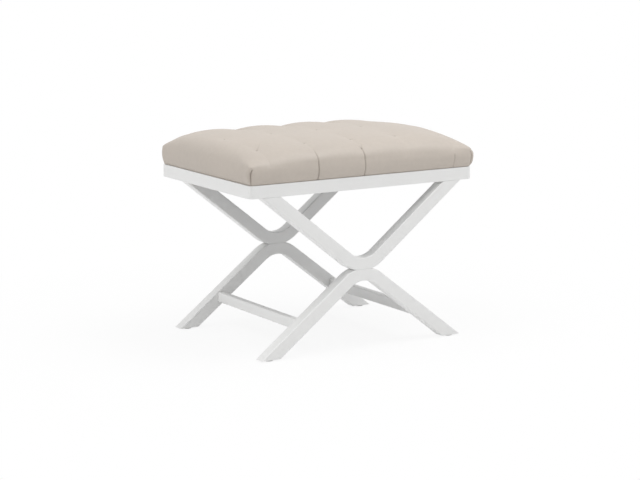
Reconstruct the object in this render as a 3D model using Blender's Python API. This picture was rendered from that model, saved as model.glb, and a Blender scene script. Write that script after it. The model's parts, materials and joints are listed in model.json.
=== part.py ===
"""Tufted bench on two crossed frames.

Sizes are in millimetres and become metres where a mesh is made. X runs along the
bench, Y towards its back and Z up. The origin is on the floor, under the middle.
"""

import math

import bmesh
import bpy

MM = 0.001

# Clearance between pieces that touch
FIT = 0.3

# Apron: four rails, mitred at the corners
APRON_LENGTH = 616.0
APRON_DEPTH = 431.0
APRON_HEIGHT = 30.0
APRON_UNDERSIDE = 383.0
RAIL_THICKNESS = 33.0
APRON_CORNER_RADIUS = 10.0
CORNER_STEPS = 4

# Rounding of the painted wood's long edges
RAIL_ROUNDING = 1.5
RAIL_ROUNDING_STEPS = 2
BAR_ROUNDING = 3.0  # on the bows and the stretchers
BAR_ROUNDING_STEPS = 3

# Crossed frames: each is an upper bow and a lower bow, sawn from solid wood
BAR_WIDTH = 31.5
BAR_DEPTH = 30.5
ARM_INSET = 57.0  # apron's end to the middle of an arm's top
FOOT_INSET = 55.0  # apron's end to the middle of a foot
CROSS_HEIGHT = 191.5  # floor to the joint between the two bows
CROWN_FLAT = 3.6  # planed off each bow's crown at that joint
BEND_RADIUS = 69.0  # on a bow's middle line
BEND_STEPS = 12  # facets in half a bend

# Stretchers, tenoned into the lower bows
STRETCHER_WIDTH = 17.5
STRETCHER_HEIGHT = 25.0
STRETCHER_LEVEL = 72.0  # floor to the stretcher's middle
TENON_WIDTH = 9.0
TENON_HEIGHT = 14.0
TENON_LENGTH = 16.0

# Dowels across the waists and at the tops of the arms
DOWEL_DIAMETER = 8.0
DOWEL_CHAMFER = 1.0
WAIST_DOWEL_SPACING = 28.0
WAIST_DOWEL_DEPTH = 16.0  # into each bow
RAIL_DOWEL_DEPTH = 16.0  # into the rail above an arm

# Fasteners at the top of an arm
ARM_FASTENER_SHIFT = 8.0  # from the middle of the arm's top, towards the bench's middle
ARM_FASTENER_SPACING = 13.0  # dowel to screw, across the bar
ARM_END_WALL = 7.0  # wood left under them
ARM_SCREW_DIAMETER = 4.5
ARM_SCREW_HEAD = 9.0
ARM_SCREW_HEAD_HEIGHT = 3.0
ARM_SCREW_SINK = 0.5  # head below the rail's top

# Corner blocks inside the apron, and the screws through them into the seat board
BLOCK_LEG = 58.0
BLOCK_HEIGHT = 22.0
BLOCK_TIP = 6.0  # cut off the block's right-angled corner
SEAT_SCREW_DIAMETER = 4.0
SEAT_SCREW_HEAD = 8.5
SEAT_SCREW_HEAD_HEIGHT = 3.0
SEAT_SCREW_ROUNDING = 1.5  # of the head
SEAT_SCREW_BITE = 9.0  # into the seat board

# Tapered points of screws and nails
SCREW_POINT = 4.0
NAIL_POINT = 3.0
POINT_RADIUS = 0.5  # of a point's blunt end

# Glides nailed under the feet
GLIDE_DIAMETER = 22.0
GLIDE_HEIGHT = 3.0
GLIDE_CHAMFER = 0.8
NAIL_DIAMETER = 3.0
NAIL_LENGTH = 12.0

# Seat: board, foam, cover and dust cover
BOARD_THICKNESS = 12.0
COVER_THICKNESS = 1.6
FOAM_GAP = 0.5  # foam to cover
HEM_WIDTH = 24.0  # cover turned in under the board
DUST_COVER_THICKNESS = 1.0
END_OVERHANG = 1.0  # cushion's rim past the apron at the ends
FACE_OVERHANG = 2.5  # and at the front and back
CUSHION_RIM_HEIGHT = 41.0  # apron's top to the rim, where the top starts to turn in
CROWN_HEIGHT = 48.0  # rim to the crown
CUSHION_CORNER_RADIUS = 16.0
SIDE_TUCK = 5.5  # rim to the fold at the cushion's foot
SIDE_BELLY = 2.5  # swell of the sides
SIDE_STEPS = 3
LENGTH_FULLNESS = 6.4  # how squarely the crown falls off towards the ends
DEPTH_FULLNESS = 4.8  # and towards front and back
EDGE_FULLNESS = 2.16  # how roundly it meets the rim

# Tufts
TUFT_COLUMNS = 5
TUFT_ROWS = 3
TUFT_END_MARGIN = 55.0  # rim to the outer columns
TUFT_SIDE_MARGIN = 66.0  # rim to the outer rows
TUFT_REACH = 20.0  # half the width of a dimple or pleat
TUFT_DEPTH = 10.0
PLEAT_DEPTH = 2.5
PLEAT_FADE = 0.5  # share of the crown's height below which tufts and pleats run out
RIM_LINES = (0.5, 0.8, 1.0)  # mesh lines between a dimple's edge and the rim, as shares

# Tufting ties, knotted in pockets under the board
TIE_DIAMETER = 3.0
TIE_GAP = 0.6  # tie's top to the cover
KNOT_DIAMETER = 9.0
KNOT_HEIGHT = 4.0
KNOT_ROUNDING = 1.3

# Facets of round pieces and bores, and the angle past which an edge is shown sharp
ROUND_SIDES = 12
GLIDE_SIDES = 24
TIE_SIDES = 8
SHARP_ANGLE = 35.0

# Heights and places that follow from the sizes above
APRON_TOP = APRON_UNDERSIDE + APRON_HEIGHT
FOLD_HEIGHT = APRON_TOP + FIT
RIM_HEIGHT = APRON_TOP + CUSHION_RIM_HEIGHT
BOARD_UNDERSIDE = FOLD_HEIGHT + COVER_THICKNESS + FIT
BOARD_TOP = BOARD_UNDERSIDE + BOARD_THICKNESS
FOAM_UNDERSIDE = BOARD_TOP + FIT
FRAME_Y = (APRON_DEPTH - BAR_DEPTH) / 2
ARM_X = APRON_LENGTH / 2 - ARM_INSET
ARM_TOP = APRON_UNDERSIDE - FIT
FOOT_X = APRON_LENGTH / 2 - FOOT_INSET
FOOT_BOTTOM = GLIDE_HEIGHT + FIT
CUSHION_X = APRON_LENGTH / 2 + END_OVERHANG
CUSHION_Y = APRON_DEPTH / 2 + FACE_OVERHANG

SIDE_NAMES = {-1: "left", 1: "right"}
FRAME_NAMES = {-1: "front", 1: "back"}


def clear_scene():
    for item in list(bpy.data.objects):
        bpy.data.objects.remove(item, do_unlink=True)


def finish(name, colour, roughness, metallic=0.0):
    made = bpy.data.materials.new(name)
    made.use_nodes = True
    shader = made.node_tree.nodes["Principled BSDF"]
    shader.inputs["Base Color"].default_value = (*colour, 1.0)
    shader.inputs["Roughness"].default_value = roughness
    shader.inputs["Metallic"].default_value = metallic
    return made


def add_piece(name, shape, material, location=(0.0, 0.0, 0.0), turn=0.0, parent=None):
    """Turn a shape drawn in millimetres into a named object."""
    bmesh.ops.recalc_face_normals(shape, faces=shape.faces)
    bmesh.ops.scale(shape, vec=(MM, MM, MM), verts=shape.verts)
    mesh = bpy.data.meshes.new(name)
    shape.to_mesh(mesh)
    shape.free()
    mesh.shade_smooth()
    mesh.set_sharp_from_angle(angle=math.radians(SHARP_ANGLE))
    piece = bpy.data.objects.new(name, mesh)
    bpy.context.scene.collection.objects.link(piece)
    if material:
        mesh.materials.append(material)
    piece.location = [value * MM for value in location]
    piece.rotation_euler.z = turn
    piece.parent = parent
    return piece


def add_empty(name, location):
    empty = bpy.data.objects.new(name, None)
    bpy.context.scene.collection.objects.link(empty)
    empty.location = [value * MM for value in location]
    return empty


def cut(piece, shape):
    """Cut a shape, drawn in world millimetres, out of a piece."""
    cutter = add_piece(piece.name + "_cutter", shape, None)
    cutter.hide_render = True
    cutter.display_type = "WIRE"
    modifier = piece.modifiers.new("bores", "BOOLEAN")
    modifier.operation = "DIFFERENCE"
    modifier.solver = "EXACT"
    modifier.object = cutter


def loft(shape, rings):
    """Skin a list of closed rings that have the same number of points, and close both ends."""
    rows = [[shape.verts.new(point) for point in ring] for ring in rings]
    count = len(rows[0])
    for lower, upper in zip(rows, rows[1:]):
        for k in range(count):
            following = (k + 1) % count
            shape.faces.new((lower[k], lower[following], upper[following], upper[k]))
    shape.faces.new(rows[0])
    shape.faces.new(rows[-1])


def upright_prism(shape, outline, low, high):
    loft(shape, [[(x, y, z) for x, y in outline] for z in (low, high)])


def box(shape, low, high):
    corners = ((low[0], low[1]), (high[0], low[1]), (high[0], high[1]), (low[0], high[1]))
    upright_prism(shape, corners, low[2], high[2])


def turned(shape, profile, centre, sides=ROUND_SIDES):
    """Turn a profile of (radius, height) points about an upright axis.

    The profile starts and ends on the axis.
    """
    angles = [2 * math.pi * k / sides for k in range(sides)]
    spokes = [(math.cos(angle), math.sin(angle)) for angle in angles]
    rings = []
    for radius, height in profile[1:-1]:
        rings.append([(centre[0] + radius * x, centre[1] + radius * y, height) for x, y in spokes])
    loft(shape, rings)


def round_edges(shape, edges, radius, steps):
    bmesh.ops.bevel(
        shape,
        geom=edges,
        offset=radius,
        segments=steps,
        profile=0.5,
        affect="EDGES",
        clamp_overlap=True,
    )


# Crossed frames


class BowCurve:
    """Side view of a bow, with heights measured away from the waist joint."""

    def __init__(self, end_x, end_height):
        self.end_height = end_height
        self.outer = BEND_RADIUS + BAR_WIDTH / 2
        self.inner = BEND_RADIUS - BAR_WIDTH / 2
        self.centre = self.outer - CROWN_FLAT
        rise = end_height - self.centre
        reach = math.hypot(end_x, rise)
        self.slope = math.atan2(rise, end_x) + math.asin(BEND_RADIUS / reach)
        self.half_cut = BAR_WIDTH / (2 * math.sin(self.slope))

    def on_arc(self, radius, angle):
        return (radius * math.sin(angle), self.centre - radius * math.cos(angle))

    def on_end(self, radius):
        x, height = self.on_arc(radius, self.slope)
        return (x + (self.end_height - height) / math.tan(self.slope), self.end_height)

    def middle_x(self, height):
        """Place of an arm's middle line at a height."""
        x, low = self.on_arc(BEND_RADIUS, self.slope)
        return x + (height - low) / math.tan(self.slope)

    def outline(self, inset):
        """Outline whose bent and straight sides lie inset, and whose ends and flat stay."""
        outer = self.outer - inset
        inner = self.inner + inset
        start = math.acos(min(1, (self.centre - FIT / 2) / outer))
        steps = range(BEND_STEPS + 1)
        half = [self.on_arc(outer, start + (self.slope - start) * k / BEND_STEPS) for k in steps]
        half.append(self.on_end(outer))
        half.append(self.on_end(inner))
        half += [self.on_arc(inner, self.slope * (1 - k / BEND_STEPS)) for k in steps]
        return half + [(-x, height) for x, height in reversed(half[:-1])]


UPPER_CURVE = BowCurve(ARM_X, ARM_TOP - CROSS_HEIGHT)
LOWER_CURVE = BowCurve(FOOT_X, CROSS_HEIGHT - FOOT_BOTTOM)
ARM_FASTENER_X = ARM_X - ARM_FASTENER_SHIFT
ARM_DEPTH = (UPPER_CURVE.half_cut + ARM_FASTENER_SHIFT) * math.tan(UPPER_CURVE.slope) - ARM_END_WALL
STRETCHER_X = LOWER_CURVE.middle_x(CROSS_HEIGHT - STRETCHER_LEVEL)


def bow_shape(curve, upward):
    """A bow about its frame's middle plane, rounded along its painted edges."""
    shape = bmesh.new()
    sections = []
    for k in range(BAR_ROUNDING_STEPS + 1):
        angle = math.pi / 2 * k / BAR_ROUNDING_STEPS
        y = BAR_DEPTH / 2 - BAR_ROUNDING * (1 - math.cos(angle))
        sections.append((y, BAR_ROUNDING * (1 - math.sin(angle))))
    rings = []
    for y, inset in [(-y, inset) for y, inset in sections] + sections[::-1]:
        rings.append([(x, y, CROSS_HEIGHT + upward * height) for x, height in curve.outline(inset)])
    loft(shape, rings)
    return shape


def dowel_profile(low, high):
    radius = DOWEL_DIAMETER / 2
    neck = radius - DOWEL_CHAMFER
    return [
        (0, low),
        (neck, low),
        (radius, low + DOWEL_CHAMFER),
        (radius, high - DOWEL_CHAMFER),
        (neck, high),
        (0, high),
    ]


def bore_profile(diameter, low, high):
    radius = diameter / 2 + FIT
    return [(0, low), (radius, low), (radius, high), (0, high)]


def arm_dowel_y(back):
    return back * (FRAME_Y + ARM_FASTENER_SPACING / 2)


def arm_screw_y(back):
    return back * (FRAME_Y - ARM_FASTENER_SPACING / 2)


def waist_dowel_bores(shape, back):
    reach = WAIST_DOWEL_DEPTH + FIT
    for side in SIDE_NAMES:
        centre = (side * WAIST_DOWEL_SPACING / 2, back * FRAME_Y)
        turned(shape, bore_profile(DOWEL_DIAMETER, CROSS_HEIGHT - reach, CROSS_HEIGHT + reach), centre)


def arm_bores(shape, back):
    """Bores at the tops of a frame's two arms, in the arms and in the rail above."""
    for side in SIDE_NAMES:
        x = side * ARM_FASTENER_X
        low = ARM_TOP - ARM_DEPTH - FIT
        high = APRON_UNDERSIDE + RAIL_DOWEL_DEPTH + FIT
        turned(shape, bore_profile(DOWEL_DIAMETER, low, high), (x, arm_dowel_y(back)))
        shank = ARM_SCREW_DIAMETER / 2 + FIT
        head = ARM_SCREW_HEAD / 2 + FIT
        head_top = APRON_TOP - ARM_SCREW_SINK
        profile = [
            (0, low),
            (shank, low),
            (shank, head_top - ARM_SCREW_HEAD_HEIGHT - FIT),
            (head, head_top - FIT),
            (head, APRON_TOP + FIT),
            (0, APRON_TOP + FIT),
        ]
        turned(shape, profile, (x, arm_screw_y(back)))


def mortises(shape, back):
    face = back * (FRAME_Y - BAR_DEPTH / 2)
    ends = sorted((face - back * FIT, face + back * (TENON_LENGTH + FIT)))
    for side in SIDE_NAMES:
        x = side * STRETCHER_X
        half_width = TENON_WIDTH / 2 + FIT
        half_height = TENON_HEIGHT / 2 + FIT
        low = (x - half_width, ends[0], STRETCHER_LEVEL - half_height)
        high = (x + half_width, ends[1], STRETCHER_LEVEL + half_height)
        box(shape, low, high)


def nail_bores(shape, back):
    for side in SIDE_NAMES:
        profile = bore_profile(NAIL_DIAMETER, FOOT_BOTTOM - FIT, GLIDE_HEIGHT + NAIL_LENGTH + FIT)
        turned(shape, profile, (side * FOOT_X, back * FRAME_Y))


def make_frame(back, paint, bare):
    name = FRAME_NAMES[back]
    middle = add_empty(name + "_frame", (0, back * FRAME_Y, 0))
    upper = add_piece(name + "_upper_bow", bow_shape(UPPER_CURVE, 1), paint, parent=middle)
    upper_bores = bmesh.new()
    waist_dowel_bores(upper_bores, back)
    arm_bores(upper_bores, back)
    cut(upper, upper_bores)
    lower = add_piece(name + "_lower_bow", bow_shape(LOWER_CURVE, -1), paint, parent=middle)
    lower_bores = bmesh.new()
    waist_dowel_bores(lower_bores, back)
    mortises(lower_bores, back)
    nail_bores(lower_bores, back)
    cut(lower, lower_bores)
    for side, side_name in SIDE_NAMES.items():
        dowel = bmesh.new()
        profile = dowel_profile(CROSS_HEIGHT - WAIST_DOWEL_DEPTH, CROSS_HEIGHT + WAIST_DOWEL_DEPTH)
        turned(dowel, profile, (side * WAIST_DOWEL_SPACING / 2, 0))
        add_piece(f"{name}_waist_dowel_{side_name}", dowel, bare, parent=middle)


def make_arm_fasteners(back, bare, steel):
    for side, side_name in SIDE_NAMES.items():
        place = f"{FRAME_NAMES[back]}_{side_name}"
        x = side * ARM_FASTENER_X
        dowel = bmesh.new()
        profile = dowel_profile(ARM_TOP - ARM_DEPTH, APRON_UNDERSIDE + RAIL_DOWEL_DEPTH)
        turned(dowel, profile, (0, 0))
        add_piece("arm_dowel_" + place, dowel, bare, (x, arm_dowel_y(back), 0))
        screw = bmesh.new()
        shank = ARM_SCREW_DIAMETER / 2
        head = ARM_SCREW_HEAD / 2
        tip = ARM_TOP - ARM_DEPTH
        top = APRON_TOP - ARM_SCREW_SINK
        profile = [
            (0, tip),
            (POINT_RADIUS, tip),
            (shank, tip + SCREW_POINT),
            (shank, top - ARM_SCREW_HEAD_HEIGHT),
            (head, top - FIT),
            (head, top),
            (0, top),
        ]
        turned(screw, profile, (0, 0))
        add_piece("arm_screw_" + place, screw, steel, (x, arm_screw_y(back), 0))


def make_stretcher(side, paint):
    shape = bmesh.new()
    shoulder = FRAME_Y - BAR_DEPTH / 2 - FIT
    tip = FRAME_Y - BAR_DEPTH / 2 + TENON_LENGTH
    body = (STRETCHER_WIDTH / 2, STRETCHER_HEIGHT / 2)
    tenon = (TENON_WIDTH / 2, TENON_HEIGHT / 2)
    sections = (
        (-tip, tenon),
        (-shoulder, tenon),
        (-shoulder, body),
        (shoulder, body),
        (shoulder, tenon),
        (tip, tenon),
    )
    loft(shape, [[(-w, y, -h), (w, y, -h), (w, y, h), (-w, y, h)] for y, (w, h) in sections])
    long_edges = [edge for edge in shape.edges if edge.calc_length() > shoulder]
    round_edges(shape, long_edges, BAR_ROUNDING, BAR_ROUNDING_STEPS)
    name = SIDE_NAMES[side] + "_stretcher"
    add_piece(name, shape, paint, (side * STRETCHER_X, 0, STRETCHER_LEVEL))


def make_glide(back, side, nylon):
    shape = bmesh.new()
    rim = GLIDE_DIAMETER / 2
    nail = NAIL_DIAMETER / 2
    profile = [
        (0, 0),
        (rim - GLIDE_CHAMFER, 0),
        (rim, GLIDE_CHAMFER),
        (rim, GLIDE_HEIGHT),
        (nail, GLIDE_HEIGHT),
        (nail, GLIDE_HEIGHT + NAIL_LENGTH - NAIL_POINT),
        (POINT_RADIUS, GLIDE_HEIGHT + NAIL_LENGTH),
        (0, GLIDE_HEIGHT + NAIL_LENGTH),
    ]
    turned(shape, profile, (0, 0), GLIDE_SIDES)
    name = f"foot_glide_{FRAME_NAMES[back]}_{SIDE_NAMES[side]}"
    add_piece(name, shape, nylon, (side * FOOT_X, back * FRAME_Y, 0))


# Apron


def rail_outline(length):
    """Plan of a rail: outer face on Y = 0, mitred ends and rounded outer corners."""
    radius = APRON_CORNER_RADIUS
    turn = math.pi / 4 - math.asin(FIT / (2 * radius))
    half = []
    for k in range(CORNER_STEPS + 1):
        angle = turn * k / CORNER_STEPS
        half.append((length / 2 - radius + radius * math.sin(angle), radius - radius * math.cos(angle)))
    half.append((length / 2 - RAIL_THICKNESS - FIT / math.sqrt(2), RAIL_THICKNESS))
    return half + [(-x, y) for x, y in reversed(half)]


def make_rail(name, length, paint, location, turn):
    shape = bmesh.new()
    upright_prism(shape, rail_outline(length), 0, APRON_HEIGHT)
    outer_edges = []
    for edge in shape.edges:
        ends = [vert.co for vert in edge.verts]
        level = ends[0].z == ends[1].z
        if level and all(end.y < RAIL_THICKNESS / 2 for end in ends):
            outer_edges.append(edge)
    round_edges(shape, outer_edges, RAIL_ROUNDING, RAIL_ROUNDING_STEPS)
    return add_piece(name, shape, paint, location, turn)


def make_apron(paint):
    half_length = APRON_LENGTH / 2
    half_depth = APRON_DEPTH / 2
    for back, name in FRAME_NAMES.items():
        turn = math.pi / 2 * (1 + back)
        location = (0, back * half_depth, APRON_UNDERSIDE)
        rail = make_rail(name + "_rail", APRON_LENGTH, paint, location, turn)
        bores = bmesh.new()
        arm_bores(bores, back)
        cut(rail, bores)
    for side, name in SIDE_NAMES.items():
        location = (side * half_length, 0, APRON_UNDERSIDE)
        make_rail(name + "_rail", APRON_DEPTH, paint, location, side * math.pi / 2)


def inner_corner(back, side, inset):
    """Plan of a point inset both ways from the inner faces of two rails."""
    x = APRON_LENGTH / 2 - RAIL_THICKNESS - inset
    y = APRON_DEPTH / 2 - RAIL_THICKNESS - inset
    return (side * x, back * y)


def seat_screw_place(back, side):
    """A seat screw stands at the middle of its corner block's triangle."""
    return inner_corner(back, side, FIT + BLOCK_LEG / 3)


def seat_screw_places():
    return [seat_screw_place(back, side) for back in FRAME_NAMES for side in SIDE_NAMES]


def seat_screw_bore(shape, centre, low, high):
    turned(shape, bore_profile(SEAT_SCREW_DIAMETER, low, high), centre)


def make_corner_blocks(bare, steel):
    outline = ((BLOCK_TIP, 0), (BLOCK_LEG, 0), (0, BLOCK_LEG), (0, BLOCK_TIP))
    quarter_turns = {(-1, -1): 0, (-1, 1): 1, (1, 1): 2, (1, -1): 3}
    underside = APRON_TOP - BLOCK_HEIGHT
    for (back, side), quarters in quarter_turns.items():
        place = f"{FRAME_NAMES[back]}_{SIDE_NAMES[side]}"
        shape = bmesh.new()
        upright_prism(shape, outline, underside, APRON_TOP)
        corner = (*inner_corner(back, side, FIT), 0)
        block = add_piece("corner_block_" + place, shape, bare, corner, quarters * math.pi / 2)
        centre = seat_screw_place(back, side)
        bore = bmesh.new()
        seat_screw_bore(bore, centre, underside - FIT, APRON_TOP + FIT)
        cut(block, bore)
        make_seat_screw("seat_screw_" + place, centre, underside - FIT, steel)


def make_seat_screw(name, centre, bearing, steel):
    shape = bmesh.new()
    shank = SEAT_SCREW_DIAMETER / 2
    head = SEAT_SCREW_HEAD / 2
    low = bearing - SEAT_SCREW_HEAD_HEIGHT
    tip = BOARD_UNDERSIDE + SEAT_SCREW_BITE
    profile = [
        (0, low),
        (head - SEAT_SCREW_ROUNDING, low),
        (head, low + SEAT_SCREW_ROUNDING),
        (head, bearing),
        (shank, bearing),
        (shank, tip - SCREW_POINT),
        (POINT_RADIUS, tip),
        (0, tip),
    ]
    turned(shape, profile, (0, 0))
    add_piece(name, shape, steel, (*centre, 0))


# Seat


def tuft_lines(half_size, margin, count):
    """Places of the tufts along one direction."""
    outer = half_size - margin
    return [outer * (2 * k / (count - 1) - 1) for k in range(count)]


COLUMNS = tuft_lines(CUSHION_X, TUFT_END_MARGIN, TUFT_COLUMNS)
ROWS = tuft_lines(CUSHION_Y, TUFT_SIDE_MARGIN, TUFT_ROWS)


def mesh_lines(tufts, half_size):
    """Mesh lines on each tuft line and on both sides of it, closing up towards the rim."""
    lines = []
    for tuft in tufts:
        lines += [tuft - TUFT_REACH, tuft, tuft + TUFT_REACH]
    shoulder = lines[-1]
    rim = [shoulder + (half_size - shoulder) * share for share in RIM_LINES]
    return [-line for line in reversed(rim)] + lines + rim


X_LINES = mesh_lines(COLUMNS, CUSHION_X)
Y_LINES = mesh_lines(ROWS, CUSHION_Y)


def nearness(value, places):
    """One on a tuft line, falling to nothing at the edge of a dimple."""
    return max(0.0, 1.0 - min(abs(value - place) for place in places) / TUFT_REACH)


def fall_off(value, half_size, fullness):
    share = min(1.0, abs(value) / half_size)
    return (1.0 - share**fullness) ** (1.0 / EDGE_FULLNESS)


def top_height(x, y):
    """Height of the cushion's top: its crown, less the tufts and pleats."""
    crown = fall_off(x, CUSHION_X, LENGTH_FULLNESS) * fall_off(y, CUSHION_Y, DEPTH_FULLNESS)
    column = nearness(x, COLUMNS)
    row = nearness(y, ROWS)
    if abs(x) > COLUMNS[-1]:
        row *= column
    pleat = PLEAT_DEPTH * max(column, row)
    dimple = (TUFT_DEPTH - PLEAT_DEPTH) * column * row
    return RIM_HEIGHT + CROWN_HEIGHT * crown - (pleat + dimple) * min(1.0, crown / PLEAT_FADE)


def stretch(value, outer_tuft, half_size, offset):
    """Move a mesh line with its side when the outline grows or shrinks."""
    beyond = abs(value) - outer_tuft
    if beyond <= 0:
        return value
    moved = outer_tuft + beyond * (half_size + offset - outer_tuft) / (half_size - outer_tuft)
    return math.copysign(moved, value)


def plan_point(x, y, offset):
    """Plan of a mesh point, with the cushion's outline offset and its corners rounded."""
    x = stretch(x, COLUMNS[-1], CUSHION_X, offset)
    y = stretch(y, ROWS[-1], CUSHION_Y, offset)
    radius = CUSHION_CORNER_RADIUS + offset
    if radius <= 0:
        return (x, y)
    start_x = CUSHION_X + offset - radius
    start_y = CUSHION_Y + offset - radius
    u = (abs(x) - start_x) / radius
    v = (abs(y) - start_y) / radius
    if u <= 0 or v <= 0:
        return (x, y)
    round_x = start_x + radius * u * math.sqrt(1 - v * v / 2)
    round_y = start_y + radius * v * math.sqrt(1 - u * u / 2)
    return (math.copysign(round_x, x), math.copysign(round_y, y))


def outline_ring(offset, height):
    """Points round the cushion's outline, one for each mesh line that reaches it."""
    ends = (X_LINES[0], X_LINES[-1])
    sides = (Y_LINES[0], Y_LINES[-1])
    ring = [(x, sides[0]) for x in X_LINES[:-1]]
    ring += [(ends[1], y) for y in Y_LINES[:-1]]
    ring += [(x, sides[1]) for x in reversed(X_LINES[1:])]
    ring += [(ends[0], y) for y in reversed(Y_LINES[1:])]
    return [(*plan_point(x, y, offset), height) for x, y in ring]


def side_profile():
    """Offset and height of each ring of the cushion's side, from the rim down to the fold."""
    rings = []
    for k in range(SIDE_STEPS + 1):
        share = 1 - k / SIDE_STEPS
        offset = SIDE_BELLY * 4 * share * (1 - share) - SIDE_TUCK * (1 - share) ** 2
        rings.append((offset, FOLD_HEIGHT + (RIM_HEIGHT - FOLD_HEIGHT) * share))
    return rings


def side_offset(height):
    """Offset of the faceted side at a height."""
    rings = side_profile()
    for (high_offset, high), (low_offset, low) in zip(rings, rings[1:]):
        if height >= low:
            share = (height - low) / (high - low)
            return low_offset + (high_offset - low_offset) * share
    return rings[-1][0]


def split_cell(shape, a, b, c, d):
    """Two triangles over a cell, parted along its steeper diagonal, which points at a tuft."""
    if abs(a.co.z - c.co.z) >= abs(b.co.z - d.co.z):
        shape.faces.new((a, b, c))
        shape.faces.new((a, c, d))
    else:
        shape.faces.new((a, b, d))
        shape.faces.new((b, c, d))


def add_top(shape, inset):
    """The cushion's top, sunk by an inset, and its rim's points in ring order.

    The rim comes down by half the inset, which keeps an inset top clear of a cover's corners.
    """
    across = range(len(Y_LINES))
    along = range(len(X_LINES))
    grid = {}
    for i in along:
        for j in across:
            x, y = X_LINES[i], Y_LINES[j]
            grid[i, j] = shape.verts.new((*plan_point(x, y, 0), top_height(x, y)))
    for i in along[:-1]:
        for j in across[:-1]:
            split_cell(shape, grid[i, j], grid[i + 1, j], grid[i + 1, j + 1], grid[i, j + 1])
    shape.normal_update()
    moves = {vert: vert.normal * inset * vert.calc_shell_factor() for vert in shape.verts}
    for vert, move in moves.items():
        vert.co -= move
    rim = [grid[i, 0] for i in along[:-1]]
    rim += [grid[along[-1], j] for j in across[:-1]]
    rim += [grid[i, across[-1]] for i in reversed(along[1:])]
    rim += [grid[0, j] for j in reversed(across[1:])]
    for vert, place in zip(rim, outline_ring(-inset, RIM_HEIGHT - inset / 2)):
        vert.co = place
    return rim


def hang_rings(shape, ring, places):
    """Skin rings of places below a ring of points, and give back the last ring."""
    count = len(ring)
    for place in places:
        lower = [shape.verts.new(point) for point in place]
        for k in range(count):
            following = (k + 1) % count
            shape.faces.new((ring[k], lower[k], lower[following], ring[following]))
        ring = lower
    return ring


def make_cover(leather):
    shape = bmesh.new()
    rim = add_top(shape, 0.0)
    rings = [outline_ring(offset, height) for offset, height in side_profile()[1:]]
    rings.append(outline_ring(-SIDE_TUCK - HEM_WIDTH, FOLD_HEIGHT))
    hang_rings(shape, rim, rings)
    cover = add_piece("tufted_cover", shape, leather)
    wall = cover.modifiers.new("leather", "SOLIDIFY")
    wall.thickness = COVER_THICKNESS * MM
    wall.offset = -1.0
    wall.use_even_offset = True


def tuft_places():
    return [(x, y) for y in ROWS for x in COLUMNS]


def tie_bores(shape, low, high):
    for centre in tuft_places():
        turned(shape, bore_profile(TIE_DIAMETER, low, high), centre, TIE_SIDES)


def make_foam(foam):
    shape = bmesh.new()
    inset = COVER_THICKNESS + FOAM_GAP
    rim = add_top(shape, inset)
    heights = [height for _, height in side_profile()[1:] if height > FOAM_UNDERSIDE]
    heights.append(FOAM_UNDERSIDE)
    rings = [outline_ring(side_offset(height) - inset, height) for height in heights]
    foot = hang_rings(shape, rim, rings)
    shape.faces.new(foot)
    pad = add_piece("seat_foam", shape, foam)
    bores = bmesh.new()
    tie_bores(bores, BOARD_TOP, RIM_HEIGHT + CROWN_HEIGHT)
    cut(pad, bores)


def make_board(plywood):
    shape = bmesh.new()
    edge = outline_ring(-SIDE_TUCK - COVER_THICKNESS - FIT, 0)
    upright_prism(shape, [(x, y) for x, y, _ in edge], BOARD_UNDERSIDE, BOARD_TOP)
    board = add_piece("seat_board", shape, plywood)
    bores = bmesh.new()
    pocket = KNOT_DIAMETER / 2 + FIT
    hole = TIE_DIAMETER / 2 + FIT
    shelf = BOARD_UNDERSIDE + KNOT_HEIGHT + FIT
    for centre in tuft_places():
        profile = [
            (0, BOARD_UNDERSIDE - FIT),
            (pocket, BOARD_UNDERSIDE - FIT),
            (pocket, shelf),
            (hole, shelf),
            (hole, BOARD_TOP + FIT),
            (0, BOARD_TOP + FIT),
        ]
        turned(bores, profile, centre, TIE_SIDES)
    for centre in seat_screw_places():
        seat_screw_bore(bores, centre, BOARD_UNDERSIDE - FIT, BOARD_UNDERSIDE + SEAT_SCREW_BITE + FIT)
    cut(board, bores)


def make_dust_cover(cloth):
    half_x = CUSHION_X - SIDE_TUCK - HEM_WIDTH - FIT
    half_y = CUSHION_Y - SIDE_TUCK - HEM_WIDTH - FIT
    high = BOARD_UNDERSIDE - FIT
    low = high - DUST_COVER_THICKNESS
    shape = bmesh.new()
    box(shape, (-half_x, -half_y, low), (half_x, half_y, high))
    sheet = add_piece("dust_cover", shape, cloth)
    bores = bmesh.new()
    for centre in seat_screw_places():
        seat_screw_bore(bores, centre, low - FIT, high + FIT)
    cut(sheet, bores)


def make_ties(twine):
    knot = KNOT_DIAMETER / 2
    strand = TIE_DIAMETER / 2
    knot_top = BOARD_UNDERSIDE + KNOT_HEIGHT
    for row, y in enumerate(ROWS, 1):
        for column, x in enumerate(COLUMNS, 1):
            top = top_height(x, y) - COVER_THICKNESS - TIE_GAP
            profile = [
                (0, BOARD_UNDERSIDE),
                (knot - KNOT_ROUNDING, BOARD_UNDERSIDE),
                (knot, BOARD_UNDERSIDE + KNOT_ROUNDING),
                (knot, knot_top),
                (strand, knot_top),
                (strand, top),
                (0, top),
            ]
            shape = bmesh.new()
            turned(shape, profile, (0, 0), TIE_SIDES)
            add_piece(f"tuft_tie_{row}_{column}", shape, twine, (x, y, 0))


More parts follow.
